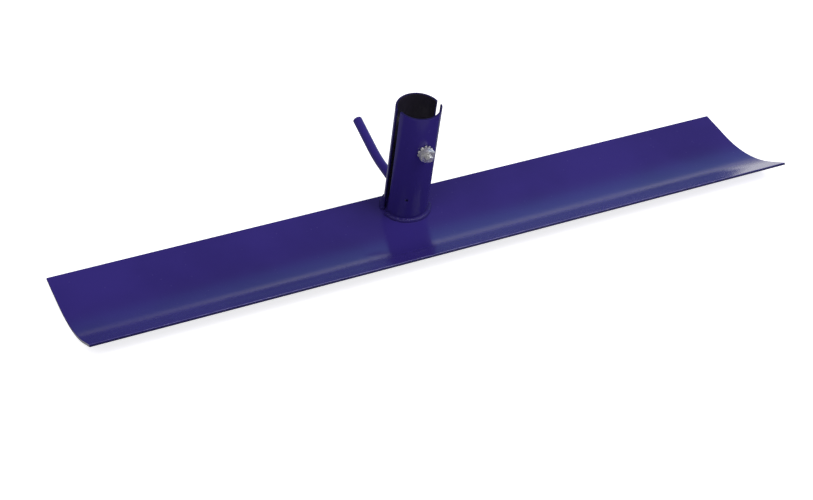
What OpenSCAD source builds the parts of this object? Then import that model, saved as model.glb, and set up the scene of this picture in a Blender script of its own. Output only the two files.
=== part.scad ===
// Concrete placer head: a wide, dished steel blade that a worker drags and pushes wet concrete with.
// Two half shells welded to the blade grip the end of a handle. A bar behind them hooks up the mesh.
// The blade lies in its own frame first, with the front edge of the flat lip on the X axis, the lip level
// and the hollow side up. rest_pose() then rocks it back to where the whole head balances on its bend.

/* [Blade] */
// Length of the blade from end to end
blade_length = 610; // [300:1:900]
// Thickness of the blade's sheet
sheet_thickness = 2; // [1.2:0.1:4]
// Width of the flat lip along the front edge
lip_width = 20; // [10:0.5:40]
// Radius of the long bend, on the hollow side
bend_radius = 111; // [90:1:200]
// Angle that the sheet turns through in the bend
bend_angle = 35.3; // [32:0.1:50]
// Width of the flat band behind the bend
back_width = 30.3; // [26:0.1:60]

/* [Socket] */
// Outer diameter of the two half shells together
socket_diameter = 37; // [28:0.5:44]
// Thickness of each half shell
shell_thickness = 1.5; // [1:0.1:3]
// Length of the socket along its axis, from the blade to the rear shell's rim
socket_length = 106.5; // [80:0.5:160]
// Height of the front shell's rim above the rear shell's
rim_step = 3; // [0:0.5:8]
// Distance from the blade's rear edge to the socket's axis
socket_setback = 18.5; // [17:0.5:26]
// Lean of the socket towards the front, from square to the back band
socket_lean = 2.7; // [0:0.1:12]
// Distance of the socket from the middle of the blade, negative to the left
socket_offset = -6; // [-150:1:150]
// Angle that the front shell spans round the socket's axis
front_shell_angle = 153; // [120:1:160]
// Turn of the front shell round the socket's axis from facing the lip, towards the left
front_shell_turn = 2.2; // [-6:0.2:6]
// Angle that the rear shell spans round the socket's axis
rear_shell_angle = 160; // [120:1:170]

/* [Fixing hole] */
// Diameter of the small hole for a nail or screw in the front shell
fixing_hole_diameter = 2.6; // [1.5:0.1:5]
// Height of the fixing hole above the blade, along the socket
fixing_hole_height = 23.5; // [15:0.5:45]
// Turn of the fixing hole from the front, towards the left
fixing_hole_turn = 28.5; // [0:0.5:55]

/* [Hook] */
// Diameter of the hook's round bar
hook_diameter = 8; // [5:0.5:10]
// Height of the hook above the blade where it leaves the socket
hook_height = 7.3; // [7:0.1:30]
// Downward turn of the hook's shank, from square to the socket
hook_dip = 4.2; // [-10:0.1:6]
// Length of the straight shank behind the socket
hook_shank = 28; // [15:0.5:60]
// Radius of the hook's bend, at the middle of the bar
hook_bend_radius = 83.6; // [20:0.1:150]
// Angle that the hook bends up through
hook_bend_angle = 14.9; // [5:0.1:60]
// Length of the straight tip past the bend
hook_tip = 32.4; // [10:0.1:80]

/* [Clamp bolt] */
// Distance of the bolt below the rear shell's rim
bolt_drop = 30.5; // [15:0.5:45]
// Diameter of the bolt, 1/4 inch
bolt_diameter = 6.35; // [5:0.05:8]
// Rise of the bolt's thread in one turn, 20 to the inch
thread_pitch = 1.27; // [0.8:0.01:1.6]
// Length of the bolt under its head
bolt_length = 48; // [46:0.5:60]
// Distance across the flats of the bolt's head and of the nut
hex_across_flats = 11.1; // [10:0.1:14]
// Height of the bolt's head
head_height = 4.1; // [3:0.1:6]
// Height of the nut
nut_height = 5.6; // [4:0.1:7]
// Outer diameter of the lock washer over its teeth
washer_diameter = 13; // [12:0.1:16]
// Width of the lock washer's plain ring
washer_ring_width = 1.5; // [1:0.1:2]
// Thickness of the lock washer's sheet
washer_thickness = 0.6; // [0.4:0.1:0.8]
// Number of teeth round the lock washer
washer_teeth = 10; // [8:1:14]
// Twist of each tooth out of the washer's plane
tooth_twist = 18; // [8:1:22]

/* [Welds] */
// Size of the weld bead round the socket's foot
foot_weld = 3.2; // [2:0.1:3.5]
// Size of the weld bead round the hook's root
hook_weld = 2.4; // [1.5:0.1:3]

/* [Clearances] */
// Gap all round the bolt in the shells' holes
bolt_hole_clearance = 0.35; // [0.15:0.05:0.6]
// Gap all round the bolt inside the nut's thread
thread_clearance = 0.05; // [0.02:0.01:0.1]
// Gap all round the bolt inside the lock washer
washer_clearance = 0.3; // [0.15:0.05:0.5]
// Gap between hardware pieces where they seat on each other
seat_gap = 0.2; // [0.1:0.05:0.4]

/* [Hidden] */
$fn = 96;
bend_facets = 360;
paint = [0.19, 0.15, 0.42];
weld_paint = [0.24, 0.19, 0.48];
zinc = [0.74, 0.74, 0.76];

socket_radius = socket_diameter / 2;
bore_radius = socket_radius - shell_thickness;
hook_radius = hook_diameter / 2;
bolt_radius = bolt_diameter / 2;

// The corner where the hollow side meets the rear edge, and the foot of the socket's axis
edge_y = lip_width + bend_radius * sin(bend_angle) + back_width * cos(bend_angle);
edge_z = bend_radius * (1 - cos(bend_angle)) + back_width * sin(bend_angle);
foot_y = edge_y - socket_setback * cos(bend_angle);
foot_z = edge_z - socket_setback * sin(bend_angle);
socket_slope = bend_angle + socket_lean;

// The hook's middle line, as points of [y, z] in the blade's frame
function along(slope, length) = length * [cos(slope), sin(slope)];
function centroid_pull(angle) = sin(angle / 2) / (angle / 2 * PI / 180);
hook_slope = socket_slope - hook_dip;
tip_slope = hook_slope + hook_bend_angle;
hook_root = [foot_y, foot_z] + along(socket_slope + 90, hook_height) + along(socket_slope, socket_radius);
hook_bend_start = hook_root + along(hook_slope, hook_shank);
hook_bend_centre = hook_bend_start + along(hook_slope + 90, hook_bend_radius);
hook_bend_end = hook_bend_centre + along(tip_slope - 90, hook_bend_radius);
hook_end = hook_bend_end + along(tip_slope, hook_tip);

// Each main piece's volume and the [y, z] of its middle, for the angle at which the head balances
mid_radius = bend_radius + sheet_thickness / 2;
bend_pivot = [lip_width, bend_radius];
bar_area = PI * pow(hook_radius, 2);
shell_area = PI * (pow(socket_radius, 2) - pow(bore_radius, 2)) * (front_shell_angle + rear_shell_angle) / 360;
weights = [
    lip_width * sheet_thickness * blade_length,
    bend_angle * PI / 180 * mid_radius * sheet_thickness * blade_length,
    back_width * sheet_thickness * blade_length,
    shell_area * socket_length,
    bar_area * hook_shank,
    bar_area * hook_bend_angle * PI / 180 * hook_bend_radius,
    bar_area * hook_tip,
    PI * pow(bolt_radius, 2) * bolt_length + pow(hex_across_flats, 2) * (head_height + nut_height) / 2
];
middles = [
    [lip_width / 2, -sheet_thickness / 2],
    bend_pivot + along(bend_angle / 2 - 90, mid_radius * centroid_pull(bend_angle)),
    bend_pivot + along(bend_angle - 90, mid_radius) + along(bend_angle, back_width / 2),
    [foot_y, foot_z] + along(socket_slope + 90, socket_length / 2),
    (hook_root + hook_bend_start) / 2,
    hook_bend_centre + along(hook_slope + hook_bend_angle / 2 - 90, hook_bend_radius * centroid_pull(hook_bend_angle)),
    (hook_bend_end + hook_end) / 2,
    [foot_y, foot_z] + along(socket_slope + 90, socket_length - bolt_drop)
];
balance_point = weights * middles / (weights * [for (w = weights) 1]);
balance_angle = atan2(balance_point[0] - lip_width, bend_radius - balance_point[1]);

// Where the rocked head's front and rear ends come, so that the origin is under the middle of its box
function rocked_y(p) = p[0] * cos(balance_angle) + p[1] * sin(balance_angle);
function rocked_z(p) = p[1] * cos(balance_angle) - p[0] * sin(balance_angle);
front_end = min(0, rocked_y([0, -sheet_thickness]));
rear_end = rocked_y(hook_end) + hook_radius * sin(tip_slope - balance_angle);
lift = bend_radius + sheet_thickness - rocked_z(bend_pivot);

// The clamp bolt's stack, measured outwards from the socket's axis
hex_radius = hex_across_flats / 2 / cos(30);
washer_bore = bolt_radius + washer_clearance;
washer_ring = washer_bore + washer_ring_width;
tooth_width = 2 * PI * washer_ring / washer_teeth * 0.62;
washer_height = washer_thickness * cos(tooth_twist) + tooth_width * sin(tooth_twist);
head_seat = -socket_radius - seat_gap;
washer_middle = socket_radius + seat_gap + washer_height / 2;
nut_seat = washer_middle + washer_height / 2 + seat_gap;
bolt_end = head_seat + bolt_length;
hex_chamfer = 0.8;
bolt_point = 0.7 * thread_pitch;
tip_overlap = 0.5;
tip_step = 0.05;
foot_lift = 0.002;

// How far a cutting solid reaches past what it cuts
margin = 30;

module rest_pose() {
    translate([0, -(front_end + rear_end) / 2, lift])
        rotate([-balance_angle, 0, 0])
            children();
}

// What lies on the far side of a bend's pivot from the arc that stays
module beyond(reach, rearwards) {
    translate([-blade_length, rearwards ? 0 : -reach, -reach])
        cube([2 * blade_length, reach, 2 * reach]);
}

// The blade's section drawn out along X, with the hollow side always in the same place
module sheet(thickness) {
    translate([-blade_length / 2, 0, -thickness])
        cube([blade_length, lip_width, thickness]);
    translate([0, lip_width, bend_radius]) {
        difference() {
            rotate([0, 90, 0])
                cylinder(h = blade_length, r = bend_radius + thickness, center = true, $fn = bend_facets);
            rotate([0, 90, 0])
                cylinder(h = 2 * blade_length, r = bend_radius, center = true, $fn = bend_facets);
            beyond(2 * bend_radius, false);
            rotate([bend_angle, 0, 0])
                beyond(2 * bend_radius, true);
        }
        rotate([bend_angle, 0, 0])
            translate([-blade_length / 2, 0, -bend_radius - thickness])
                cube([blade_length, back_width, thickness]);
    }
}

// Z along the socket's axis from its foot, and Y to the rear
module at_socket() {
    translate([socket_offset, foot_y, foot_z])
        rotate([socket_slope, 0, 0])
            children();
}

// Z outwards to the front along the clamp bolt, from the socket's axis
module at_bolt() {
    at_socket()
        translate([0, 0, socket_length - bolt_drop])
            rotate([90, 0, 0])
                children();
}

module bolt_hole() {
    at_bolt()
        cylinder(h = 2 * socket_diameter, r = bolt_radius + bolt_hole_clearance, center = true);
}

// What the blade leaves of a piece that stands on its hollow side, with the back band cut first.
// That cut stands a hair high, so that it ends cleanly on the bend, and reaches past_edge behind the rear edge.
module on_blade(past_edge) {
    difference() {
        difference() {
            children();
            translate([socket_offset, lip_width, bend_radius])
                rotate([bend_angle, 0, 0])
                    translate([-socket_diameter, -margin / 2, -bend_radius - margin])
                        cube([2 * socket_diameter, margin / 2 + back_width + past_edge, margin + foot_lift]);
        }
        translate([socket_offset, lip_width, bend_radius])
            difference() {
                rotate([bend_angle, 0, 0])
                    translate([-socket_diameter, -margin, -bend_radius - margin])
                        cube([2 * socket_diameter, margin, 1.5 * margin]);
                rotate([0, 90, 0])
                    cylinder(h = 3 * socket_diameter, r = bend_radius, center = true, $fn = bend_facets);
            }
    }
}

// One half shell, centred on the direction that turn gives, with its foot cut to the blade
module half_shell(turn, span, length) {
    difference() {
        on_blade(margin)
            at_socket()
                rotate([0, 0, turn - span / 2])
                    rotate_extrude(angle = span)
                        translate([bore_radius, -socket_radius])
                            square([shell_thickness, length + socket_radius]);
        bolt_hole();
    }
}

// A bead round the foot of one shell, on the blade and against the shell's outside, lapping its rear edge
module foot_bead(turn, span) {
    on_blade(0)
        difference() {
            translate([socket_offset, foot_y, foot_z])
                rotate([bend_angle, 0, 0])
                    rotate([0, 0, turn - span / 2])
                        rotate_extrude(angle = span)
                            translate([socket_radius, 0])
                                circle(r = foot_weld);
            at_socket()
                cylinder(h = 2 * margin, r = socket_radius, center = true);
        }
}

// The tip is drawn a hair thinner than the bend and starts just inside it, so that they join cleanly
module hook_bar() {
    translate([socket_offset, hook_bend_centre[0], hook_bend_centre[1]])
        rotate([hook_slope, 0, 0]) {
            translate([0, 0, -hook_bend_radius])
                rotate([90, 0, 0])
                    cylinder(h = hook_shank + hook_radius, r = hook_radius);
            rotate([0, 90, 0])
                rotate_extrude(angle = hook_bend_angle)
                    translate([hook_bend_radius, 0])
                        circle(r = hook_radius);
            rotate([hook_bend_angle, 0, 0])
                translate([0, -tip_overlap, -hook_bend_radius])
                    rotate([-90, 0, 0])
                        cylinder(h = tip_overlap + hook_tip, r = hook_radius - tip_step);
        }
}

// A hexagon with its corners turned down at the ends that are asked for
module hexagon(height, top) {
    intersection() {
        rotate([0, 0, 30])
            cylinder(h = height, r = hex_radius, $fn = 6);
        rotate_extrude()
            polygon([[0, 0], [top == "both" ? hex_radius - hex_chamfer : hex_radius, 0],
                     [hex_radius, top == "both" ? hex_chamfer / 2 : 0], [hex_radius, height - hex_chamfer / 2],
                     [hex_radius - hex_chamfer, height], [0, height]]);
    }
}

module blade() {
    color(paint)
        rest_pose()
            sheet(sheet_thickness);
}

module socket_front_shell() {
    color(paint)
        rest_pose()
            difference() {
                half_shell(-90 - front_shell_turn, front_shell_angle, socket_length + rim_step);
                at_socket()
                    translate([0, 0, fixing_hole_height])
                        rotate([90, 0, -fixing_hole_turn])
                            cylinder(h = socket_diameter, r = fixing_hole_diameter / 2);
            }
}

module socket_rear_shell() {
    color(paint)
        rest_pose()
            half_shell(90, rear_shell_angle, socket_length);
}

module front_foot_weld() {
    color(weld_paint)
        rest_pose()
            foot_bead(-90 - front_shell_turn, front_shell_angle);
}

module rear_foot_weld() {
    color(weld_paint)
        rest_pose()
            foot_bead(90, rear_shell_angle);
}

module hook_rod() {
    color(paint)
        rest_pose()
            difference() {
                hook_bar();
                at_socket()
                    cylinder(h = 2 * margin, r = socket_radius);
            }
}

module hook_weld_bead() {
    color(weld_paint)
        rest_pose()
            difference() {
                translate([socket_offset, hook_root[0], hook_root[1]])
                    rotate([hook_slope - 90, 0, 0])
                        rotate_extrude()
                            intersection() {
                                translate([hook_radius, 0])
                                    circle(r = hook_weld);
                                translate([hook_radius, -hook_weld])
                                    square([hook_weld, 2 * hook_weld]);
                            }
                at_socket()
                    cylinder(h = 2 * margin, r = socket_radius);
                translate([socket_offset, foot_y, foot_z])
                    rotate([bend_angle, 0, 0])
                        translate([-margin, 0, foot_weld - margin])
                            cube([2 * margin, 2 * margin, margin]);
            }
}

module clamp_bolt() {
    color(zinc)
        rest_pose()
            at_bolt() {
                translate([0, 0, head_seat])
                    rotate([180, 0, 0])
                        hexagon(head_height, "top");
                translate([0, 0, head_seat])
                    rotate_extrude()
                        polygon([[0, 0], [bolt_radius, 0], [bolt_radius, bolt_length - bolt_point],
                                 [bolt_radius - bolt_point, bolt_length], [0, bolt_length]]);
            }
}

module lock_washer() {
    color(zinc)
        rest_pose()
            at_bolt()
                translate([0, 0, washer_middle])
                    difference() {
                        union() {
                            cylinder(h = washer_thickness, r = washer_ring, center = true);
                            for (i = [0 : washer_teeth - 1])
                                rotate([0, 0, (i + 0.5) * 360 / washer_teeth])
                                    translate([washer_diameter / 4 + washer_bore / 2, 0, 0])
                                        rotate([tooth_twist, 0, 0])
                                            cube([washer_diameter / 2 - washer_bore, tooth_width, washer_thickness],
                                                 center = true);
                        }
                        cylinder(h = 2 * washer_height, r = washer_bore, center = true);
                    }
}

module clamp_nut() {
    color(zinc)
        rest_pose()
            at_bolt()
                translate([0, 0, nut_seat])
                    difference() {
                        hexagon(nut_height, "both");
                        translate([0, 0, -1])
                            cylinder(h = nut_height + 2, r = bolt_radius + thread_clearance);
                    }
}

blade();
socket_front_shell();
socket_rear_shell();
front_foot_weld();
rear_foot_weld();
hook_rod();
hook_weld_bead();
clamp_bolt();
lock_washer();
clamp_nut();
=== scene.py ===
# %% [markdown]
# The head of a concrete placer: a wide dished steel blade with a split socket for a handle, a bar hook
# behind it and one clamp bolt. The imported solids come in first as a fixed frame. Each piece that needs a
# finer shape than its solid is modelled again here, in metres, in the same place.

# %% Load the frame
import random
from math import cos, hypot, pi, radians, sin

import bmesh
import bpy
from mathutils import Matrix, Vector


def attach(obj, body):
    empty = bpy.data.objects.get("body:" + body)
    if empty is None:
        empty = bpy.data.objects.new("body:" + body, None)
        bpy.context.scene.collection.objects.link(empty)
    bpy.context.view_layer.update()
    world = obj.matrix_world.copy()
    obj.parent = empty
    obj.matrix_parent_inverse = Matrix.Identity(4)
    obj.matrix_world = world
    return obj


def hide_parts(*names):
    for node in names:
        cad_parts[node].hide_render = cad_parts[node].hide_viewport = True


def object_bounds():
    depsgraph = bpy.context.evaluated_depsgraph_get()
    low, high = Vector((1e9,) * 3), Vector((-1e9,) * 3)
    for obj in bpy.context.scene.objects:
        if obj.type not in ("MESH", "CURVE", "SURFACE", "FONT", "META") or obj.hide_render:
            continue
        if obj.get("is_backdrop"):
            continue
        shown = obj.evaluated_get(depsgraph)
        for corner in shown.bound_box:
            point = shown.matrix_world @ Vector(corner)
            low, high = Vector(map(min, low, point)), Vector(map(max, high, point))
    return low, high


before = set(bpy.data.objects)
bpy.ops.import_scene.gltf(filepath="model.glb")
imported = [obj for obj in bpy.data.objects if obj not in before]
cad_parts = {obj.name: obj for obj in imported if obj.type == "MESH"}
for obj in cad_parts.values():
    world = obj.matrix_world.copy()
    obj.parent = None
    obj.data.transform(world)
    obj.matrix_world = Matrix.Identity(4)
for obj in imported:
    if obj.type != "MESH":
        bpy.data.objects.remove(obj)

cad_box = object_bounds()
MM = 0.001
print("nodes:", sorted(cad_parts))

# %% [markdown]
# The blade was drawn with its lip level, then rocked back until it balances on its bend. These matrices say
# the same thing to Blender: REST carries a point of the level blade to the rocked one, FOOT stands on the
# blade's back band where the socket is welded, SOCKET runs up the socket's axis, and BOLT points out to the
# front along the clamp bolt. A piece is modelled at the origin and one of these puts it in place. Working
# out every tilted corner by hand would give the same shapes with many more numbers.

# %% Sizes of the blade and the socket
LENGTH, SHEET, LIP, BACK = 610 * MM, 2 * MM, 20 * MM, 30.3 * MM
BEND_R, BEND = 111 * MM, radians(35.3)
OUTER, WALL = 18.5 * MM, 1.5 * MM
BORE = OUTER - WALL
SOCKET_LENGTH, RIM_STEP, BOLT_HEIGHT = 106.5 * MM, 3 * MM, 76 * MM
SOCKET_X, SETBACK, LEAN = -6 * MM, 18.5 * MM, radians(2.7)
ROCK, RESTED_AT = radians(23.0191), (0, -95.5925 * MM, 18.6592 * MM)
print("flat width of the sheet:", round((LIP + BEND_R * BEND + BACK) / MM, 1), "mm")

# %% Frames of the pieces
band = Vector((0, cos(BEND), sin(BEND)))
foot = Vector((SOCKET_X, LIP + BEND_R * sin(BEND), BEND_R * (1 - cos(BEND)))) + band * (BACK - SETBACK)
REST = Matrix.Translation(RESTED_AT) @ Matrix.Rotation(-ROCK, 4, "X")
FOOT = REST @ Matrix.Translation(foot) @ Matrix.Rotation(BEND, 4, "X")
SOCKET = FOOT @ Matrix.Rotation(LEAN, 4, "X")
BOLT = SOCKET @ Matrix.Translation((0, 0, BOLT_HEIGHT)) @ Matrix.Rotation(radians(90), 4, "X")
print("foot of the socket:", [round(v, 5) for v in FOOT.translation])

# %% [markdown]
# The camera repeats the photograph's view. Its place, direction and lens came from matching the blade's
# four corners and the socket's outline, and the picture is 813 pixels wide. A camera looks down its own -Z
# axis, so its matrix is made of the picture's right, its up and the way back to the eye.

# %% Camera
AZIMUTH, DOWN, ROLL = radians(25.4311), radians(31.1942), radians(0.7017)
EYE, FOCAL_PX, PHOTO_WIDTH, SENSOR = (-0.544886, -1.133842, 0.72518), 1746.346, 813, 36
ahead = Vector((sin(AZIMUTH) * cos(DOWN), cos(AZIMUTH) * cos(DOWN), -sin(DOWN)))
level = ahead.cross(Vector((0, 0, 1))).normalized()
below = ahead.cross(level)
right = level * cos(ROLL) + below * sin(ROLL)
up = level * sin(ROLL) - below * cos(ROLL)
lens = bpy.data.cameras.new("camera")
lens.sensor_width = SENSOR
lens.lens = FOCAL_PX / PHOTO_WIDTH * SENSOR
camera = bpy.data.objects.new("camera", lens)
camera.matrix_world = Matrix.Translation(EYE) @ Matrix((right, up, -ahead)).transposed().to_4x4()
bpy.context.scene.collection.objects.link(camera)
bpy.context.scene.camera = camera
print("lens:", round(lens.lens, 2), "mm")

# %% [markdown]
# Shaping goes the way it does by hand: add a primitive, enter edit mode, pick some faces or edges, and use
# a tool on them. Operators act on everything selected, and the frame arrives selected, so start_clean()
# deselects first. pick() selects by the middle of a vertex, an edge or a face, which takes the place of
# clicking on it.

# %% Starting a piece and picking its parts
def start_clean():
    if bpy.context.object and bpy.context.object.mode != "OBJECT":
        bpy.ops.object.mode_set(mode="OBJECT")
    bpy.ops.object.select_all(action="DESELECT")


def take(piece):
    start_clean()
    piece.select_set(True)
    bpy.context.view_layer.objects.active = piece


def name_new(name):
    piece = bpy.context.object
    piece.name = piece.data.name = name
    bpy.ops.object.transform_apply(location=True, rotation=True, scale=True)
    return piece


def edit(piece):
    take(piece)
    bpy.ops.object.mode_set(mode="EDIT")
    bpy.ops.mesh.select_mode(type="VERT")
    bpy.ops.mesh.select_all(action="SELECT")


def pick(piece, kind, test):
    bpy.ops.mesh.select_mode(type=kind)
    bpy.ops.mesh.select_all(action="DESELECT")
    mesh = bmesh.from_edit_mesh(piece.data)
    for part in {"VERT": mesh.verts, "EDGE": mesh.edges, "FACE": mesh.faces}[kind]:
        points = [part.co] if kind == "VERT" else [v.co for v in part.verts]
        if test(sum(points, Vector()) / len(points)):
            part.select_set(True)
    bmesh.update_edit_mesh(piece.data)


print("picking helpers ready")

# %% [markdown]
# Three edit-mode tools do nearly all the shaping. pull() extrudes and can resize the new end, slice_at()
# cuts along a plane and can drop one side, and spin_round() carries a profile round an axis. Without a
# window the spin tool turns clockwise about its axis, so spin_round() flips the axis.

# %% Pulling, spinning and slicing
SAME_PLACE = 0.001 * MM


def pull(move, size=None):
    bpy.ops.mesh.extrude_region_move(TRANSFORM_OT_translate={"value": move})
    if size:
        bpy.ops.transform.resize(value=size)


def spin_round(steps, angle, center, axis):
    bpy.ops.mesh.spin(steps=steps, angle=angle, center=center, axis=-Vector(axis))


def slice_at(piece, place, normal, **drop):
    edit(piece)
    bpy.ops.mesh.bisect(plane_co=place, plane_no=normal, threshold=SAME_PLACE, **drop)
    bpy.ops.object.mode_set(mode="OBJECT")


print("points closer than", SAME_PLACE, "m count as one")

# %% [markdown]
# A modifier does what would take many strokes by hand, such as giving a sheet its thickness. It is applied
# at once, so the mesh holds the finished shape. A spin or a cut can leave doubled points and faces that
# look inwards, and outside() merges the first and turns the second.

# %% Modifiers, places and copies
def finish_with(piece, kind, **settings):
    take(piece)
    modifier = piece.modifiers.new(kind.lower(), kind)
    for key, value in settings.items():
        setattr(modifier, key, value)
    bpy.ops.object.modifier_apply(modifier=modifier.name)


def outside(piece, merge=SAME_PLACE):
    edit(piece)
    bpy.ops.mesh.remove_doubles(threshold=merge)
    bpy.ops.mesh.normals_make_consistent(inside=False)
    bpy.ops.object.mode_set(mode="OBJECT")


def put(piece, matrix):
    take(piece)
    piece.matrix_basis = matrix @ piece.matrix_basis
    bpy.ops.object.transform_apply(location=True, rotation=True, scale=True)


def join(pieces, name):
    take(pieces[0])
    for other in pieces[1:]:
        other.select_set(True)
    bpy.ops.object.join()
    piece = bpy.context.object
    piece.name = piece.data.name = name
    return piece


def copy_of(piece):
    copy = piece.copy()
    copy.data = piece.data.copy()
    bpy.context.scene.collection.objects.link(copy)
    return copy


def cut_away(piece, cutter, how="DIFFERENCE", merge=0.01 * MM):
    finish_with(piece, "BOOLEAN", operation=how, object=cutter, solver="EXACT")
    bpy.data.objects.remove(cutter, do_unlink=True)
    outside(piece, merge)


def smooth_below(piece, degrees):
    take(piece)
    bpy.ops.object.shade_smooth_by_angle(angle=radians(degrees))


print("finishing helpers ready")

# %% [markdown]
# Paint doesn't look the same on a flat and on an edge, and the bore and the cut faces are darkened here
# as painted shade. A material can't know which is which, so each face carries a number from 0 to 1 under
# a name, and the paint reads it. Separate materials for each kind of face would also work, but they would
# leave hard borders and more slots to keep in step.

# %% Marking faces for the paint
def mark(piece, name, share):
    values = [float(share(face)) for face in piece.data.polygons]
    if name not in piece.data.attributes:
        piece.data.attributes.new(name, "FLOAT", "FACE")
    piece.data.attributes[name].data.foreach_set("value", values)
    print(piece.name, name, "faces:", sum(value > 0 for value in values))


# %% [markdown]
# A sheared or sawn edge is never perfectly sharp: paint pulls thin over it and it catches the light. The
# Bevel modifier rounds every corner sharper than a limit, and it can give its new faces a second material
# slot. That slot is turned into an "edge" attribute here, so one paint can look different on its edges.

# %% Rounded edges that the paint can find
def round_edges(piece, width, limit=40, steps=2):
    piece.data.materials.clear()
    piece.data.materials.append(None)
    piece.data.materials.append(None)
    finish_with(piece, "BEVEL", width=width, segments=steps, limit_method="ANGLE",
                angle_limit=radians(limit), material=1, use_clamp_overlap=True)
    mark(piece, "edge", lambda face: face.material_index == 1)
    for face in piece.data.polygons:
        face.material_index = 0
    piece.data.materials.clear()
    smooth_below(piece, 35)


# %% [markdown]
# Materials are small graphs of nodes. These helpers make a node, set its inputs by name and link it, so
# that a recipe reads like a sentence. Effects that several finishes share are shader node groups: built
# once, with named inputs, and placed in each material with its own values.

# %% Tools for materials and node groups
FLOAT, COLOUR = "NodeSocketFloat", "NodeSocketColor"
MIX_AMOUNT, MIX_FIRST, MIX_SECOND, MIX_RESULT = 0, 6, 7, 2


def node(tree, kind, links=(), **settings):
    made = tree.nodes.new(kind)
    for key, value in settings.items():
        if key in made.inputs:
            made.inputs[key].default_value = value
        else:
            setattr(made, key, value)
    for socket, source in dict(links).items():
        tree.links.new(source, made.inputs[socket])
    return made


def feed(tree, socket, value):
    if isinstance(value, bpy.types.NodeSocket):
        tree.links.new(value, socket)
    else:
        socket.default_value = value


def blend_colours(tree, amount, first, second):
    mix = node(tree, "ShaderNodeMix", data_type="RGBA")
    for index, value in ((MIX_AMOUNT, amount), (MIX_FIRST, first), (MIX_SECOND, second)):
        feed(tree, mix.inputs[index], value)
    return mix.outputs[MIX_RESULT]


def maths(tree, what, first, second=0.0, third=0.0):
    made = node(tree, "ShaderNodeMath", operation=what)
    for index, value in enumerate((first, second, third)):
        feed(tree, made.inputs[index], value)
    return made.outputs[0]


def span(tree, value, low, high, to_low, to_high):
    made = node(tree, "ShaderNodeMapRange", {"Value": value}, interpolation_type="SMOOTHSTEP")
    for label, number in (("From Min", low), ("From Max", high), ("To Min", to_low), ("To Max", to_high)):
        made.inputs[label].default_value = number
    return made.outputs["Result"]


def object_place(tree):
    return node(tree, "ShaderNodeTexCoord").outputs["Object"]


def face_mark(tree, name):
    return node(tree, "ShaderNodeAttribute", attribute_name=name).outputs["Fac"]


def new_material(name):
    made = bpy.data.materials.new(name)
    made.use_nodes = True
    return made, made.node_tree, made.node_tree.nodes["Principled BSDF"]


def new_group(name, inputs, outputs):
    group = bpy.data.node_groups.new(name, "ShaderNodeTree")
    for label, kind, value in inputs:
        socket = group.interface.new_socket(label, in_out="INPUT", socket_type=kind)
        socket.default_value = value
    for label, kind in outputs:
        group.interface.new_socket(label, in_out="OUTPUT", socket_type=kind)
    return group, group.nodes.new("NodeGroupInput"), group.nodes.new("NodeGroupOutput")


def use_group(tree, group, **values):
    made = node(tree, "ShaderNodeGroup", node_tree=group)
    for label, value in values.items():
        made.inputs[label.replace("_", " ")].default_value = value
    return made


print("material helpers ready")

# %% [markdown]
# No sprayed or plated surface has one colour. "uneven colour" drifts between two colours with a cloudy
# noise, and also puts out the mask, so that roughness can drift along with it. Noise reads Object
# coordinates, which stay with the piece when it moves and don't stretch over long faces.

# %% The effect of an uneven colour
uneven, into, out = new_group(
    "uneven colour",
    [("First", COLOUR, (1, 1, 1, 1)), ("Second", COLOUR, (0, 0, 0, 1)), ("Per metre", FLOAT, 10.0)],
    [("Colour", COLOUR), ("Mask", FLOAT)])
cloud = node(uneven, "ShaderNodeTexNoise",
             {"Vector": object_place(uneven), "Scale": into.outputs["Per metre"]}, Detail=4.0)
mask = span(uneven, cloud.outputs["Fac"], 0.35, 0.65, 0, 1)
drifting = blend_colours(uneven, mask, into.outputs["First"], into.outputs["Second"])
uneven.links.new(drifting, out.inputs["Colour"])
uneven.links.new(mask, out.inputs["Mask"])
print("group:", uneven.name)

# %% [markdown]
# Sprayed enamel dries a little wavy, like the skin of an orange, and catches a few nibs of dust. The waves
# are a fine noise. The nibs are the cores of Voronoi cells, of which only a share is kept. Modelled bumps
# would need millions of faces for the same effect.

# %% The effect of orange peel
NIB_HEIGHT = 0.8
peel, into, out = new_group(
    "orange peel",
    [("Waves per metre", FLOAT, 400.0), ("Nibs per metre", FLOAT, 160.0), ("Nib share", FLOAT, 0.1)],
    [("Height", FLOAT), ("Nibs", FLOAT)])
place = object_place(peel)
waves = node(peel, "ShaderNodeTexNoise",
             {"Vector": place, "Scale": into.outputs["Waves per metre"]}, Detail=2.0)
cells = node(peel, "ShaderNodeTexVoronoi", {"Vector": place, "Scale": into.outputs["Nibs per metre"]})
core = span(peel, cells.outputs["Distance"], 0.06, 0.16, 1, 0)
lot = node(peel, "ShaderNodeSeparateColor", {"Color": cells.outputs["Color"]}).outputs[0]
nibs = maths(peel, "MULTIPLY", core, maths(peel, "LESS_THAN", lot, into.outputs["Nib share"]))
height = maths(peel, "ADD", waves.outputs["Fac"], maths(peel, "MULTIPLY", nibs, NIB_HEIGHT))
peel.links.new(height, out.inputs["Height"])
peel.links.new(nibs, out.inputs["Nibs"])
print("group:", peel.name)

# %% [markdown]
# Wear along an edge comes and goes. "rubbed edge" takes the "edge" mark of the rounded corners and breaks
# it up with noise, and never lets it fall below a least share, so that the whole edge stays a little
# lighter.

# %% The effect of a rubbed edge
rubbed, into, out = new_group(
    "rubbed edge", [("Patches per metre", FLOAT, 90.0), ("Least", FLOAT, 0.4)], [("Mask", FLOAT)])
patch = node(rubbed, "ShaderNodeTexNoise",
             {"Vector": object_place(rubbed), "Scale": into.outputs["Patches per metre"]}, Detail=3.0)
patchy = span(rubbed, patch.outputs["Fac"], 0.4, 0.6, 0, 1)
amount = maths(rubbed, "MAXIMUM", patchy, into.outputs["Least"])
rubbed.links.new(maths(rubbed, "MULTIPLY", face_mark(rubbed, "edge"), amount), out.inputs["Mask"])
print("group:", rubbed.name)
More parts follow.
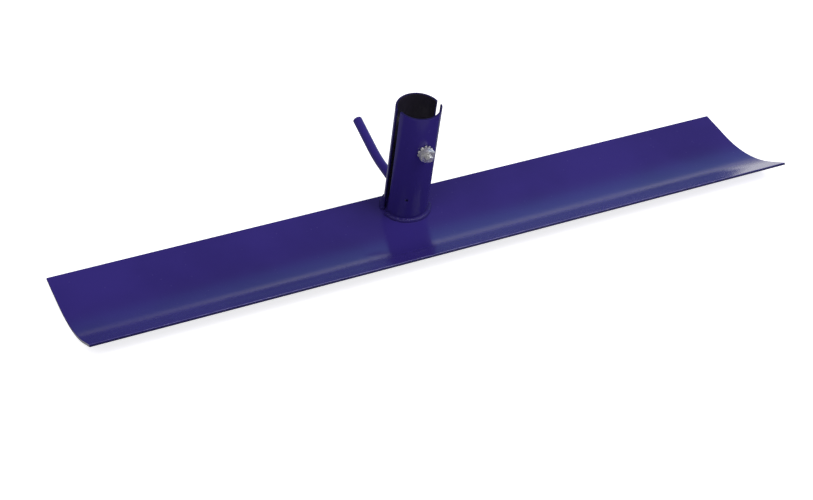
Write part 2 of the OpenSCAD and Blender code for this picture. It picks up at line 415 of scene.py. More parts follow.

# %% [markdown]
# The steel is sprayed a deep, glossy indigo. Most of what the eye sees on such a paint is reflection, so
# the colour itself is dark and the gloss does the rest. The weld gets a darker version of the paint, painted
# shade for the corner it lies in, over a rougher skin with less shine. The "hollow" mark turns the inside of
# the socket to a dull near black, which is painted shade for the bore, and the "cut" mark darkens cut faces
# as painted shade. "bare" shows the steel where a corner has been rubbed.

# %% The indigo enamel
# The first two colours are painted shade: near black for the bore, deep blue-black for cut faces.
BORE_SHADE_COLOUR, CUT_SHADE_COLOUR, BARE_STEEL = (0.026, 0.022, 0.034, 1), (0.006, 0.004, 0.04, 1), (0.5, 0.5, 0.53, 1)
NIB_TINT, HOLLOW_DULLS, DRIFT_DULLS, BARE_METAL = 0.25, 0.3, 0.05, 0.6


def enamel(name, deep, light, edge_colour, gloss, shine, waves, depth):
    paint, tree, skin = new_material(name)
    drift = use_group(tree, uneven, First=deep, Second=light, Per_metre=9.0)
    coat = use_group(tree, peel, Waves_per_metre=waves, Nibs_per_metre=210.0, Nib_share=0.2)
    # The edge mask carries rubbed wear, and on the lip a painted highlight.
    edge_wear_and_highlight = use_group(tree, rubbed, Patches_per_metre=120.0, Least=0.4)
    tinted = maths(tree, "MULTIPLY", coat.outputs["Nibs"], NIB_TINT)
    colour = blend_colours(tree, tinted, drift.outputs["Colour"], edge_colour)
    colour = blend_colours(tree, edge_wear_and_highlight.outputs["Mask"], colour, edge_colour)
    hollow, bare = face_mark(tree, "hollow"), face_mark(tree, "bare")
    for share, tint in ((hollow, BORE_SHADE_COLOUR), (face_mark(tree, "cut"), CUT_SHADE_COLOUR), (bare, BARE_STEEL)):
        colour = blend_colours(tree, share, colour, tint)
    tree.links.new(colour, skin.inputs["Base Color"])
    dull = maths(tree, "MULTIPLY_ADD", hollow, HOLLOW_DULLS, gloss)
    rough = maths(tree, "MULTIPLY_ADD", drift.outputs["Mask"], DRIFT_DULLS, dull)
    tree.links.new(rough, skin.inputs["Roughness"])
    tree.links.new(maths(tree, "MULTIPLY", bare, BARE_METAL), skin.inputs["Metallic"])
    skin.inputs["Specular IOR Level"].default_value = shine
    relief = node(tree, "ShaderNodeBump", {"Height": coat.outputs["Height"]}, Strength=0.5, Distance=depth)
    tree.links.new(relief.outputs["Normal"], skin.inputs["Normal"])
    return paint


indigo = enamel("indigo_enamel", deep=(0.032, 0.021, 0.17, 1), light=(0.039, 0.0255, 0.206, 1),
                edge_colour=(0.105, 0.085, 0.31, 1), gloss=0.13, shine=0.35, waves=420.0, depth=0.16 * MM)
# The weld's colours are darker than the blade's: painted shade for the corner the welds lie in.
shaded_weld_paint = enamel("painted_weld", deep=(0.024, 0.0165, 0.115, 1), light=(0.03, 0.02, 0.145, 1),
               edge_colour=(0.075, 0.06, 0.26, 1), gloss=0.16, shine=0.16, waves=500.0, depth=0.08 * MM)
print("paints:", indigo.name, shaded_weld_paint.name)

# %% [markdown]
# The bolt, washer and nut are zinc plated: a light grey metal whose gloss has gone cloudy. A clean metal
# has Metallic 1 and shows only reflections. The thin white bloom on old zinc scatters light as well, so
# Metallic is 0.75 here, and roughness carries most of the variation.

# %% Zinc plate
ZINC_LIGHT, ZINC_DARK, ZINC_EDGE = (0.88, 0.87, 0.85, 1), (0.62, 0.61, 0.59, 1), (0.88, 0.87, 0.86, 1)
ZINC_GLOSS, BLOOM_DULLS = 0.24, 0.16
zinc, tree, skin = new_material("zinc_plate")
cloudy = use_group(tree, uneven, First=ZINC_LIGHT, Second=ZINC_DARK, Per_metre=420.0)
pitted = use_group(tree, peel, Waves_per_metre=1400.0, Nibs_per_metre=900.0, Nib_share=0.3)
bright = use_group(tree, rubbed, Patches_per_metre=500.0, Least=0.3)
plated = blend_colours(tree, bright.outputs["Mask"], cloudy.outputs["Colour"], ZINC_EDGE)
tree.links.new(plated, skin.inputs["Base Color"])
dull = maths(tree, "MULTIPLY_ADD", cloudy.outputs["Mask"], BLOOM_DULLS, ZINC_GLOSS)
tree.links.new(dull, skin.inputs["Roughness"])
skin.inputs["Metallic"].default_value = 0.75
relief = node(tree, "ShaderNodeBump", {"Height": pitted.outputs["Height"]}, Strength=0.4, Distance=0.04 * MM)
tree.links.new(relief.outputs["Normal"], skin.inputs["Normal"])
print("metal:", zinc.name)

# %% [markdown]
# Each finished piece is tied to the body it moves with and to the solid it stands for.
# Done in one place, this can't be forgotten for a piece.

# %% Handing a piece over
def hand_over(piece, material, body, slot, *nodes):
    piece.data.materials.clear()
    piece.data.materials.append(material)
    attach(piece, body)
    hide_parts(*nodes)
    print(piece.name, "replaces", nodes, "with", len(piece.data.polygons), "faces")


# %% [markdown]
# The blade is one sheet of 2 mm steel with a flat lip, a long even bend and a flat back band. It could be a
# bent grid, but it is modelled as it is pressed: start from the lip, spin its rear edge round the bend's
# centre, and pull the last edge straight out. Solidify then gives the sheet its thickness downwards, so the
# hollow side stays true. A few extra slices near the ends keep the shading of the rounded edges away from
# the long flat faces.

# %% The blade's sheet
BEND_STEPS, END_SLICES, EDGE_SLICES = 40, (1.2, 4, 14, 60, 150), (1.2, 4)
start_clean()
bpy.ops.mesh.primitive_plane_add(size=1, location=(0, LIP / 2, 0))
bpy.context.object.scale = (LENGTH, LIP, 1)
blade = name_new("blade_sheet")
edit(blade)
pick(blade, "EDGE", lambda p: p.y > LIP - 0.01 * MM)
spin_round(BEND_STEPS, BEND, (0, LIP, BEND_R), (1, 0, 0))
pull(band * BACK)
bpy.ops.object.mode_set(mode="OBJECT")
for side in (-1, 1):
    for inset in END_SLICES:
        slice_at(blade, (side * (LENGTH / 2 - inset * MM), 0, 0), (1, 0, 0))
rear = Vector((0, LIP, BEND_R)) + Vector((0, sin(BEND), -cos(BEND))) * BEND_R + band * BACK
for inset in EDGE_SLICES:
    slice_at(blade, (0, inset * MM, 0), (0, 1, 0))
for inset in EDGE_SLICES:
    slice_at(blade, rear - band * (inset * MM), band)
finish_with(blade, "SOLIDIFY", thickness=SHEET, offset=-1, use_even_offset=True)
outside(blade)
round_edges(blade, 0.3 * MM)
print("blade faces:", len(blade.data.polygons))

# %% [markdown]
# The sheared edges are painted darker than the faces, as painted shade, and a painted highlight, a light
# line, runs along the top of the lip where its front edge catches the light. The left end's cut face is
# rubbed bare next to the lip. All three follow the shape, so they are marked by place and direction while
# the blade still lies level.

# %% The blade's edges: painted shade, a painted highlight and wear
# Cut faces get painted shade, and a strip along the top of the lip gets a painted highlight.
CUT_DARK, LIP_HIGHLIGHT = 0.85, 0.9
LIP_FACE, LIP_HIGHLIGHT_WIDTH, BARE_TO = 0.5 * MM, 1.2 * MM, 48 * MM


def on_lip_cut(face):
    return face.center.y < LIP_FACE and face.normal.z < 0.3


def on_any_cut(face):
    return abs(face.normal.x) > 0.7 or on_lip_cut(face) or face.normal.dot(band) > 0.8


# The lip's top strip is a painted highlight carried in the edge mark; the lip's cut face gets none.
def edge_share(face):
    if face.normal.z > 0.98 and face.center.y < LIP_HIGHLIGHT_WIDTH:
        return LIP_HIGHLIGHT
    return 0 if on_lip_cut(face) else blade.data.attributes["edge"].data[face.index].value


mark(blade, "cut", lambda face: CUT_DARK * on_any_cut(face))
mark(blade, "edge", edge_share)
mark(blade, "bare", lambda face: face.normal.x < -0.7 and face.center.y < BARE_TO)
put(blade, REST)
hand_over(blade, indigo, "head", "paint", "blade")

# %% [markdown]
# The clamp bolt passes through a hole in each half of the socket, and the front half has a small nail hole
# as well. A hole could be a ring of faces built by hand, but a cylinder taken away by the Boolean modifier
# keeps the curve of the shell. The bore and the cut faces get painted shade: near black in the bore, darker
# on the cut faces. Both are found by their distance from the socket's axis and the way they face.

# %% Drilling, and where the painted shade goes
BIT_LONG, SKIN_DEEP, CUT_SHADE_SHARE = 30 * MM, 0.1 * MM, 0.75


def drill(radius, height, turn):
    start_clean()
    bpy.ops.mesh.primitive_cylinder_add(vertices=48, radius=radius, depth=BIT_LONG)
    bit = name_new("bit")
    side = Matrix.Rotation(turn, 4, "Z") @ Matrix.Translation((0, -OUTER, height))
    put(bit, side @ Matrix.Rotation(radians(90), 4, "X"))
    return bit


def in_bore(face):
    return hypot(face.center.x, face.center.y) < BORE + SKIN_DEEP


# Painted shade on the shell's cut faces: faces that face neither in nor out get a share of the dark colour.
def cut_share(face):
    out = Vector((face.center.x, face.center.y, 0)).normalized()
    return CUT_SHADE_SHARE * (abs(face.normal.dot(out)) < 0.5 and not in_bore(face))


print("bore radius:", round(BORE / MM, 2), "mm")

# %% [markdown]
# The socket is two rolled half shells with an open slit down each side. A shell could be a whole tube with
# its sides cut away. Here it starts as the narrow face of its own cut edge, sliced into rows, which is spun
# round the socket's axis, so that every row of faces ends cleanly at the slit. Its foot is then sliced off
# along the blade's back band.

# %% The two half shells
BOLT_HOLE_R, NAIL_HOLE_R, NAIL_HEIGHT, NAIL_TURN = 3.525 * MM, 1.3 * MM, 23.5 * MM, radians(-28.5)
FRONT_TURN, FRONT_SPAN, REAR_START, REAR_SPAN = 2.2, 153, 10, 160
FRONT_START = -90 - FRONT_TURN - FRONT_SPAN / 2
BELOW_FOOT, ROWS, DEGREES_A_STEP = 20 * MM, (1.2, 5, *range(12, 105, 6)), 3


def half_shell(name, start, sweep, length, holes):
    start_clean()
    middle = ((BORE + OUTER) / 2, 0, (length - BELOW_FOOT) / 2)
    bpy.ops.mesh.primitive_plane_add(size=1, location=middle, rotation=(radians(90), 0, 0))
    bpy.context.object.scale = (WALL, length + BELOW_FOOT, 1)
    shell = name_new(name)
    for height in ROWS:
        slice_at(shell, (0, 0, length - height * MM), (0, 0, 1))
    put(shell, Matrix.Rotation(radians(start), 4, "Z"))
    edit(shell)
    spin_round(int(sweep / DEGREES_A_STEP), radians(sweep), (0, 0, 0), (0, 0, 1))
    bpy.ops.object.mode_set(mode="OBJECT")
    outside(shell)
    slice_at(shell, (0, 0, 0), (0, sin(LEAN), cos(LEAN)), clear_inner=True, use_fill=True)
    for radius, height, turn in holes:
        cut_away(shell, drill(radius, height, turn))
    round_edges(shell, 0.28 * MM)
    # Painted shade: the bore turns near black, and the cut faces darker.
    mark(shell, "hollow", in_bore)
    mark(shell, "cut", cut_share)
    put(shell, SOCKET)
    hand_over(shell, indigo, "head", "paint", "socket_" + name)


half_shell("front_shell", FRONT_START, FRONT_SPAN, SOCKET_LENGTH + RIM_STEP,
           [(BOLT_HOLE_R, BOLT_HEIGHT, 0), (NAIL_HOLE_R, NAIL_HEIGHT, NAIL_TURN)])
half_shell("rear_shell", REAR_START, REAR_SPAN, SOCKET_LENGTH, [(BOLT_HOLE_R, BOLT_HEIGHT, pi)])

# %% [markdown]
# A weld bead is a row of overlapping puddles, each a little different. A plain swept tube would look like a
# rubber cord. One sphere is modelled and copied along the joint. Each copy is flattened, tilted and sized
# by chance, with sizes that swell and shrink slowly, and the Remesh modifier melts the copies into one
# skin.

# %% A row of weld puddles
PUDDLE_LONG, PUDDLE_HIGH, PUDDLE_TILT = 0.55, 0.98, (18, 30)
SWELL_KEPT, SWELL_STEP, SIZE_STEP = 0.7, (-0.06, 0.08), (-0.04, 0.04)


def bead(name, points, size, seed, voxel):
    chance = random.Random(seed)
    start_clean()
    bpy.ops.mesh.primitive_uv_sphere_add(segments=16, ring_count=10, radius=size)
    first = name_new("puddle")
    swell = 0
    puddles = []
    for place, along in points:
        swell = SWELL_KEPT * swell + chance.uniform(*SWELL_STEP)
        grow = 1 + swell + chance.uniform(*SIZE_STEP)
        face = along.to_track_quat("X", "Z").to_matrix().to_4x4()
        tip = Matrix.Rotation(radians(chance.uniform(*PUDDLE_TILT)), 4, "Y")
        shape = Matrix.Diagonal((PUDDLE_LONG * grow, grow, PUDDLE_HIGH * grow, 1))
        puddles.append(copy_of(first))
        put(puddles[-1], Matrix.Translation(place) @ face @ tip @ shape)
    bpy.data.objects.remove(first, do_unlink=True)
    weld = join(puddles, name)
    finish_with(weld, "REMESH", mode="VOXEL", voxel_size=voxel)
    finish_with(weld, "SMOOTH", factor=0.5, iterations=4)
    print(name, "puddles:", len(puddles))
    return weld


def ring_points(radius, start, sweep, gap, height):
    count = int(radians(sweep) * radius / gap)
    for i in range(count + 1):
        turn = radians(start + sweep * i / count)
        yield Vector((radius * cos(turn), radius * sin(turn), height)), Vector((-sin(turn), cos(turn), 0))


# %% [markdown]
# Each shell has its own weld round its foot, and the slits between the shells stay open. The bead lies in
# the corner between shell and blade. What would reach under the sheet or into the socket's bore is cut off
# again: the first with a flat slice, the second with a plug a little wider than the bore.

# %% The welds round the socket's foot
BEAD_RISE, FOOT_OUT, FOOT_GAP, FOOT_BEAD, INTO_SHEET = 0.2 * MM, 0.3 * MM, 1.5 * MM, 2.9 * MM, 1.2 * MM
PLUG_R, PLUG_LONG = OUTER - 0.5 * MM, 80 * MM


def bore_plug(matrix):
    start_clean()
    bpy.ops.mesh.primitive_cylinder_add(vertices=96, radius=PLUG_R, depth=PLUG_LONG)
    plug = name_new("plug")
    put(plug, matrix)
    return plug


def foot_weld(name, node_name, start, sweep, seed):
    points = ring_points(OUTER + FOOT_OUT, start, sweep, FOOT_GAP, BEAD_RISE)
    weld = bead(name, points, FOOT_BEAD, seed, voxel=0.32 * MM)
    slice_at(weld, (0, 0, -INTO_SHEET), (0, 0, 1), clear_inner=True, use_fill=True)
    cut_away(weld, bore_plug(Matrix.Rotation(LEAN, 4, "X")))
    smooth_below(weld, 50)
    put(weld, FOOT)
    hand_over(weld, shaded_weld_paint, "head", "paint", node_name)


foot_weld("front_weld_bead", "front_foot_weld", FRONT_START, FRONT_SPAN, seed=3)
foot_weld("rear_weld_bead", "rear_foot_weld", REAR_START, REAR_SPAN, seed=5)

# %% [markdown]
# The hook is a bent length of round bar. A curve with a round section would do, but the bar is pulled here
# the way it is bent: a filled circle goes out along the shank, is spun round the bend's centre and goes out
# again to the tip. The tip's rim is rounded a little, as a cropped bar's is. The root and the start of the
# bend are where the solid has them.

# %% The hook
HOOK_R, SHANK_RISE, HOOK_BEND, HOOK_BEND_R = 4 * MM, radians(10.7809), radians(14.9), 83.6 * MM
TIP, TIP_END, HIDDEN, HOOK_STEPS = 32.4 * MM, 3 * MM, 0.9 * MM, 16
shank = Vector((0, cos(SHANK_RISE), sin(SHANK_RISE)))
square = Vector((0, -sin(SHANK_RISE), cos(SHANK_RISE)))
root = Vector((-6, 17.3446, 18.884)) * MM
bend_start = Vector((-6, 44.8504, 24.1215)) * MM
start_clean()
bpy.ops.mesh.primitive_circle_add(vertices=40, radius=HOOK_R, fill_type="NGON",
                                  location=root - shank * HIDDEN, rotation=(SHANK_RISE - pi / 2, 0, 0))
hook = name_new("hook_bar")
edit(hook)
pull(bend_start - root + shank * HIDDEN)
spin_round(HOOK_STEPS, HOOK_BEND, bend_start + square * HOOK_BEND_R, (1, 0, 0))
tip_way = Vector((0, cos(SHANK_RISE + HOOK_BEND), sin(SHANK_RISE + HOOK_BEND)))
pull(tip_way * (TIP - TIP_END))
pull(tip_way * TIP_END)
bpy.ops.object.mode_set(mode="OBJECT")
outside(hook)
round_edges(hook, 0.4 * MM, limit=60, steps=3)
hand_over(hook, indigo, "head", "paint", "hook_rod")

# %% [markdown]
# The hook is welded to the rear shell all the way round. The same row of puddles is used, smaller, on a
# ring round the bar. Its sweep stops about one puddle short of a full turn, so that the last puddle lies
# beside the first and not on it. The same plug keeps it out of the bore.

# %% The weld round the hook's root
ROOT_OUT, ROOT_GAP, ROOT_BEAD, ROOT_SWEEP = 0.2 * MM, 1.3 * MM, 1.9 * MM, 345
HOOK_ROOT = Matrix.Translation(root) @ Matrix.Rotation(SHANK_RISE - pi / 2, 4, "X")
root_ring = ring_points(HOOK_R + ROOT_OUT, 0, ROOT_SWEEP, ROOT_GAP, BEAD_RISE)
hook_weld = bead("hook_root_bead", root_ring, ROOT_BEAD, seed=8, voxel=0.26 * MM)
put(hook_weld, HOOK_ROOT)
cut_away(hook_weld, bore_plug(SOCKET))
smooth_below(hook_weld, 50)
hand_over(hook_weld, shaded_weld_paint, "head", "paint", "hook_weld_bead")

# %% [markdown]
# A screw thread is a small profile carried round an axis while it climbs: that is exactly what the Screw
# modifier does. Rings stacked on the bolt would look right only from far away. The profile is a plane's
# outline with its inner edge taken away, one pitch tall with its root flats. One extra turn at each end is
# sliced off flat, and the slice closes the shape.

# %% A real thread
PITCH, BOLT_R, THREAD_DEPTH = 1.27 * MM, 3.175 * MM, 0.6134
ROOT_R = BOLT_R - THREAD_DEPTH * PITCH
FLANKS, CREST, ROOT_FLAT, TURN_STEPS = 0.75, 1 / 6, 0.125, 32


def thread(name, low, high, larger):
    start_clean()
    middle = (ROOT_R + BOLT_R) / 2 + larger
    bpy.ops.mesh.primitive_plane_add(size=1, location=(middle, 0, PITCH / 2), rotation=(radians(90), 0, 0))
    bpy.context.object.scale = (BOLT_R - ROOT_R, PITCH * FLANKS, 1)
    screw = name_new(name)
    inner = ROOT_R + larger + SAME_PLACE
    edit(screw)
    bpy.ops.mesh.delete(type="ONLY_FACE")
    pick(screw, "VERT", lambda p: p.x > middle)
    bpy.ops.transform.resize(value=(1, 1, CREST))
    pick(screw, "EDGE", lambda p: p.x < inner)
    bpy.ops.mesh.delete(type="EDGE")
    flat = PITCH * ROOT_FLAT
    for level_z, move in ((flat, -flat), (PITCH - flat, flat)):
        pick(screw, "VERT", lambda p: p.x < inner and abs(p.z - level_z) < SAME_PLACE)
        bpy.ops.mesh.extrude_vertices_move(TRANSFORM_OT_translate={"value": (0, 0, move)})
    bpy.ops.object.mode_set(mode="OBJECT")
    first = int(low / PITCH) - (2 if low < 0 else 1)
    put(screw, Matrix.Translation((0, 0, first * PITCH)))
    turns = int(high / PITCH) + 2 - first
    finish_with(screw, "SCREW", axis="Z", angle=2 * pi, screw_offset=PITCH, iterations=turns,
                steps=TURN_STEPS, render_steps=TURN_STEPS, use_merge_vertices=False)
    outside(screw)
    slice_at(screw, (0, 0, low), (0, 0, 1), clear_inner=True, use_fill=True)
    slice_at(screw, (0, 0, high), (0, 0, 1), clear_outer=True, use_fill=True)
    outside(screw)
    print(name, "turns:", turns)
    return screw


# %% [markdown]
# Hexagon heads and nuts are turned from hexagon bar: a hexagonal prism met by a barrel whose ends slope
# away, which leaves the curved chamfer on each corner. A bevel on the prism alone would leave flat
# chamfers, so the Boolean modifier does the meeting. The barrel of a forged bolt head also has a shallow
# dish in its top.

# %% A chamfered hexagon
HEX_FLAT, CHAMFER, CORNER_ROOM, FACE_SHARE = 5.55 * MM, 0.72 * MM, 0.1 * MM, 0.97
DISH_DEPTH, DISH_MOUTH, DISH_FLOOR = 0.4 * MM, 0.72, 0.86
HEX_R = HEX_FLAT / cos(radians(30))


def hexagon(name, height, dished):
    narrow, wide = HEX_FLAT * FACE_SHARE, HEX_R + CORNER_ROOM
    start_clean()
    bpy.ops.mesh.primitive_circle_add(vertices=96, radius=wide if dished else narrow, fill_type="NGON")
    barrel = name_new("barrel")
    edit(barrel)
    if not dished:
        pull((0, 0, CHAMFER), (wide / narrow, wide / narrow, 1))
    pull((0, 0, height - (CHAMFER if dished else 2 * CHAMFER)))
    pull((0, 0, CHAMFER), (narrow / wide, narrow / wide, 1))
    if dished:
        pull((0, 0, 0), (DISH_MOUTH, DISH_MOUTH, 1))
        pull((0, 0, -DISH_DEPTH), (DISH_FLOOR, DISH_FLOOR, 1))
    bpy.ops.object.mode_set(mode="OBJECT")
    outside(barrel)
    start_clean()
    bpy.ops.mesh.primitive_cylinder_add(vertices=6, radius=HEX_R, depth=height, location=(0, 0, height / 2))
    prism = name_new(name)
    cut_away(prism, barrel, "INTERSECT", merge=0.03 * MM)
    print(name, "faces:", len(prism.data.polygons))
    return prism


# %% [markdown]
# The bolt is a hexagon head, a plain shank and a threaded end with a turned-down point. They are made one
# after the other along the bolt's own axis and share one mesh at the end, because they are one piece of
# steel.

# %% The bolt's head and shank
HEAD_SEAT, HEAD_HEIGHT, THREAD_START, BOLT_END = -18.7 * MM, 4.1 * MM, 10.3 * MM, 29.3 * MM
SHANK_UNDER, INTO_HEAD, RUN_OUT = 0.05 * MM, 0.5 * MM, 0.9 * MM
head = hexagon("bolt_head", HEAD_HEIGHT, True)
round_edges(head, 0.12 * MM, limit=25)
put(head, Matrix.Translation((0, 0, HEAD_SEAT)) @ Matrix.Rotation(pi, 4, "X"))

start_clean()
bpy.ops.mesh.primitive_circle_add(vertices=64, radius=BOLT_R - SHANK_UNDER, fill_type="NGON",
                                  location=(0, 0, HEAD_SEAT - INTO_HEAD))
rod = name_new("bolt_shank")
edit(rod)
pull((0, 0, THREAD_START - HEAD_SEAT))
pull((0, 0, RUN_OUT), (ROOT_R / BOLT_R, ROOT_R / BOLT_R, 1))
bpy.ops.object.mode_set(mode="OBJECT")
outside(rod)
print("shank faces:", len(rod.data.polygons))

# %% [markdown]
# The thread starts as a full one. On a lathe its end is then turned down to a cone, so that the nut finds
# its way on. A barrel with that cone on its end, met with the thread by a Boolean, takes off the same
# metal.

# %% The bolt's threaded end
POINT_SLOPE, ROOM = 0.9, 0.3 * MM
threads = thread("bolt_thread", THREAD_START, BOLT_END, 0)
full = BOLT_R + ROOM
point = ROOT_R - POINT_SLOPE * ROOM
start_clean()
bpy.ops.mesh.primitive_circle_add(vertices=96, radius=full, fill_type="NGON",
                                  location=(0, 0, THREAD_START - ROOM))
lathe = name_new("point_barrel")
edit(lathe)
pull((0, 0, BOLT_END - (full - ROOT_R) / POINT_SLOPE - THREAD_START + ROOM))
pull((0, 0, (full - point) / POINT_SLOPE), (point / full, point / full, 1))
bpy.ops.object.mode_set(mode="OBJECT")
outside(lathe)
cut_away(threads, lathe, "INTERSECT", merge=SAME_PLACE)
for plain in (rod, threads):
    plain.data.attributes.new("edge", "FLOAT", "FACE")
    smooth_below(plain, 30)
bolt = join([head, rod, threads], "bolt")
put(bolt, BOLT)
hand_over(bolt, zinc, "bolt", "zinc", "clamp_bolt")

# %% [markdown]
# The nut is the same hexagon without a dish. A thread 0.05 mm larger than the bolt's is taken away from it
# as a tap would, so that the two don't touch, and a cone opens each end of the hole. Its edges are rounded
# last, because a Boolean on a rounded nut can fail on the many thin faces.

# %% The nut
NUT_SEAT, NUT_HEIGHT, TAP_CLEAR, TAP_PAST = 20.0695 * MM, 5.6 * MM, 0.05 * MM, 2 * MM
SINK_WIDE, SINK_NARROW, SINK_LONG, SINK_MIDDLE = 3.7 * MM, 2.2 * MM, 1.5 * MM, 0.6 * MM
nut = hexagon("nut", NUT_HEIGHT, False)
put(nut, Matrix.Translation((0, 0, NUT_SEAT)))
cut_away(nut, thread("tap", NUT_SEAT - TAP_PAST, NUT_SEAT + NUT_HEIGHT + TAP_PAST, TAP_CLEAR))
for end in (0, 1):
    start_clean()
    bpy.ops.mesh.primitive_cone_add(vertices=64, radius1=SINK_WIDE, radius2=SINK_NARROW, depth=SINK_LONG,
                                    location=(0, 0, SINK_MIDDLE))
    sink = name_new("countersink")
    put(sink, Matrix.Translation((0, 0, NUT_SEAT + end * NUT_HEIGHT)) @ Matrix.Rotation(end * pi, 4, "X"))
    cut_away(nut, sink)
round_edges(nut, 0.08 * MM, limit=40)
put(nut, BOLT)
hand_over(nut, zinc, "nut", "zinc", "clamp_nut")

# %% [markdown]
# The lock washer is a plain ring whose outer teeth are twisted, so that their corners bite. The ring is a
# circle's outline pulled outwards and then thickened, and one twisted tooth is copied ten times. Cutting
# the gaps out of a disc would leave the teeth flat.

# %% The lock washer's ring
RING_IN, RING_OUT, THICK, WASHER_MIDDLE = 3.475 * MM, 4.975 * MM, 0.6 * MM, 19.2848 * MM
start_clean()
bpy.ops.mesh.primitive_circle_add(vertices=80, radius=RING_IN, location=(0, 0, -THICK / 2))
ring = name_new("washer_ring")
edit(ring)
pull((0, 0, 0), (RING_OUT / RING_IN, RING_OUT / RING_IN, 1))
bpy.ops.mesh.select_all(action="SELECT")
pull((0, 0, THICK))
bpy.ops.object.mode_set(mode="OBJECT")
outside(ring)
round_edges(ring, 0.1 * MM)

# %% The lock washer's teeth
TOOTH_IN, TOOTH_OUT, TOOTH_WIDE, TOOTH_FLARE = RING_IN + 0.4 * MM, 6.5 * MM, 1.94 * MM, 1.12
TEETH, TWIST = 10, radians(18)
start_clean()
bpy.ops.mesh.primitive_cube_add(size=1, location=((TOOTH_IN + TOOTH_OUT) / 2, 0, 0))
bpy.context.object.scale = (TOOTH_OUT - TOOTH_IN, TOOTH_WIDE, THICK)
tooth = name_new("tooth")
edit(tooth)
pick(tooth, "FACE", lambda p: p.x > TOOTH_OUT - 0.01 * MM)
bpy.ops.transform.resize(value=(1, TOOTH_FLARE, 1))
bpy.ops.object.mode_set(mode="OBJECT")
round_edges(tooth, 0.1 * MM)
put(tooth, Matrix.Rotation(TWIST, 4, "X"))
teeth = []
for i in range(TEETH):
    teeth.append(copy_of(tooth))
    put(teeth[-1], Matrix.Rotation((i + 0.5) * 2 * pi / TEETH, 4, "Z"))
bpy.data.objects.remove(tooth, do_unlink=True)
washer = join([ring] + teeth, "washer")
put(washer, BOLT @ Matrix.Translation((0, 0, WASHER_MIDDLE)))
hand_over(washer, zinc, "washer", "zinc", "lock_washer")

# %% [markdown]
# The stage is a plain pale floor that keeps the object's soft shadow. A white floor lit by lamps alone
# would come out grey or burn out the paint, so this one glows as well, but only for camera rays and for
# glossy ones. Diffuse rays never meet the glow, so it lights no colour. For gloss and metal both the glow
# and the grey fade towards the left, where the photograph's paint mirrors little.

# %% Floor
WHITE, GLOW, FLOOR_WIDE = (1, 1, 1, 1), 0.78, 12
DIM_GREY, BRIGHT_GREY, DIM_UNTIL, BRIGHT_FROM = (0.16, 0.16, 0.19, 1), (0.5, 0.5, 0.52, 1), 0.15, 0.32
start_clean()
bpy.ops.mesh.primitive_plane_add(size=FLOOR_WIDE)
floor = name_new("floor")
floor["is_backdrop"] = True
ground, tree, skin = new_material("pale_floor")
skin.inputs["Roughness"].default_value = 0.9
skin.inputs["Specular IOR Level"].default_value = 0.0
skin.inputs["Emission Color"].default_value = WHITE
pale = use_group(tree, uneven, First=(0.8, 0.8, 0.8, 1), Second=(0.78, 0.78, 0.78, 1), Per_metre=1.5)
rays = node(tree, "ShaderNodeLightPath").outputs
across = node(tree, "ShaderNodeSeparateXYZ", {"Vector": object_place(tree)}).outputs["X"]
reach = span(tree, across, DIM_UNTIL, BRIGHT_FROM, 0.1, 1)
mirrored = blend_colours(tree, reach, DIM_GREY, BRIGHT_GREY)
shaded = blend_colours(tree, rays["Is Glossy Ray"], pale.outputs["Colour"], mirrored)
tree.links.new(shaded, skin.inputs["Base Color"])
glossy = maths(tree, "MULTIPLY", rays["Is Glossy Ray"], reach)
glow = maths(tree, "MULTIPLY", maths(tree, "ADD", rays["Is Camera Ray"], glossy), GLOW)
tree.links.new(glow, skin.inputs["Emission Strength"])
floor.data.materials.append(ground)
print("floor:", [round(v, 1) for v in floor.dimensions])

# %% [markdown]
# Glossy paint is only as good as what it mirrors. For camera rays the sky is plain white, and diffuse rays
# get an even soft light. For glossy rays it is a studio wall: a pale strip near the horizon, which draws
# the light line along the blade's bend, then a blue wall and a dark ceiling, all dimmer towards the left.
# An image of a studio would do the same, but the script reads no pictures.

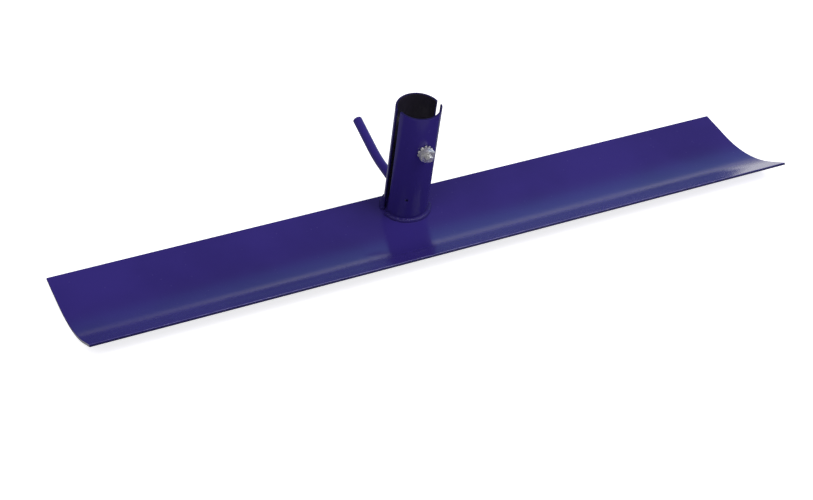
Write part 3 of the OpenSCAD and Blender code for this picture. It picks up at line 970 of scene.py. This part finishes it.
# %% Sky
PALE_STRIP, BLUE_WALL, CEILING = (0.66, 0.7, 0.84, 1), (0.2, 0.35, 0.62, 1), (0.14, 0.14, 0.17, 1)
ROOM_LIGHT, LEFT_SHARE = (0.37, 0.37, 0.4, 1), 0.16
STRIP_FADES, WALL_FADES, LEFT_TO_RIGHT = (0.13, 0.2), (0.4, 0.66), (0.0, 0.45)
sky = bpy.data.worlds.new("sky")
bpy.context.scene.world = sky
sky.use_nodes = True
tree = sky.node_tree
tree.nodes.clear()
facing = node(tree, "ShaderNodeTexCoord").outputs["Generated"]
way = node(tree, "ShaderNodeSeparateXYZ", {"Vector": facing}).outputs
rays = node(tree, "ShaderNodeLightPath").outputs
wall = blend_colours(tree, span(tree, way["Z"], *STRIP_FADES, 0, 1), PALE_STRIP, BLUE_WALL)
mirrored = blend_colours(tree, span(tree, way["Z"], *WALL_FADES, 0, 1), wall, CEILING)
even = blend_colours(tree, rays["Is Glossy Ray"], ROOM_LIGHT, mirrored)
seen = blend_colours(tree, rays["Is Camera Ray"], even, WHITE)
side = span(tree, way["X"], *LEFT_TO_RIGHT, LEFT_SHARE, 1)
dimming = maths(tree, "MULTIPLY", rays["Is Glossy Ray"], maths(tree, "SUBTRACT", 1.0, side))
strength = maths(tree, "SUBTRACT", 1.0, dimming)
background = node(tree, "ShaderNodeBackground", {"Color": seen, "Strength": strength})
tree.links.new(background.outputs[0], node(tree, "ShaderNodeOutputWorld").inputs["Surface"])
print("sky nodes:", len(tree.nodes))

# %% [markdown]
# The light itself is a large soft box over the front right and a weaker one on the left. Large lamps give
# the soft shadow of the photograph, and both stay weak enough that a colour renders about as it is written.

# %% Lamps and the view
def soft_box(name, place, size, watts):
    lamp = bpy.data.lights.new(name, "AREA")
    lamp.shape = "RECTANGLE"
    lamp.size = lamp.size_y = size
    lamp.energy = watts
    box = bpy.data.objects.new(name, lamp)
    box.location = place
    box.rotation_euler = (-Vector(place)).to_track_quat("-Z", "Y").to_euler()
    bpy.context.scene.collection.objects.link(box)
    print(name, watts, "watts")


soft_box("key_box", (0.9, -1.3, 1.9), 1.2, 28)
soft_box("fill_box", (-1.2, -1.2, 1.6), 1.0, 9)
bpy.context.scene.view_settings.view_transform = "Standard"

# %% [markdown]
# Blender must not change the object's size. The box of the solids, taken right after loading, and the box
# of the dressed object are written side by side, so that the two can be compared after each render.

# %% Sizes and the end
dressed_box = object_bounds()
for title, box in (("solids", cad_box), ("dressed", dressed_box)):
    print(title, "box:", [[round(float(v), 4) for v in c] for c in box])
